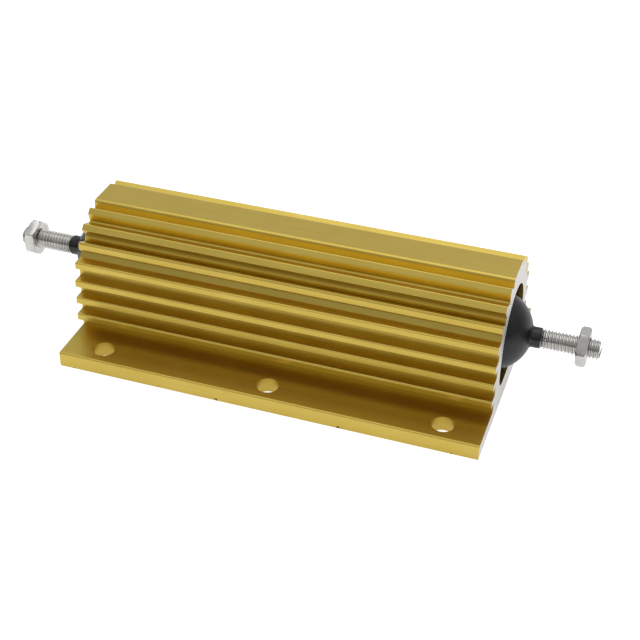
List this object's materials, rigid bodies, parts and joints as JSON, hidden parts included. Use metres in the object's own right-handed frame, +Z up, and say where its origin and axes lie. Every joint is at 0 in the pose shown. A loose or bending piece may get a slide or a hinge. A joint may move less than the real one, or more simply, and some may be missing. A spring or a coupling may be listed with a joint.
{
  "type": "aluminium housed power resistor",
  "caption": "Chassis-mount wirewound power resistor in a finned gold-anodised aluminium housing with side flanges, a moulded core and a threaded stud terminal with a nut at each end.",
  "frame": {"origin": "on the mounting face, midway between the mounting holes", "axes": "+X along the terminals to the right one, +Z up from the mounting face, +Y across the flanges"},
  "size_m": [0.1821, 0.071, 0.0406],
  "materials": {
    "anodised_housing": "satin gold anodising, bare sawn ends",
    "bore_cement": "dull thermal cement",
    "black_moulding": "satin black moulding",
    "core_ceramic": "unglazed ceramic",
    "resistance_wire": "resistance wire",
    "layer_insulation": "glass tape",
    "cap_metal": "pressed steel",
    "stud_metal": "bright nickel plated thread",
    "nut_metal": "bright nickel plated"
  },
  "bodies": {
    "root": {"housing": "anodised_housing", "bore_filling": "bore_cement", "moulding": "black_moulding", "ceramic_core": "core_ceramic", "winding_inner": "resistance_wire", "winding_insulation": "layer_insulation", "winding_outer": "resistance_wire", "end_cap_left": "cap_metal", "end_cap_right": "cap_metal", "terminal_stud_left": "stud_metal", "terminal_stud_right": "stud_metal", "terminal_nut_left": "nut_metal", "terminal_nut_right": "nut_metal"}
  },
  "joints": []
}
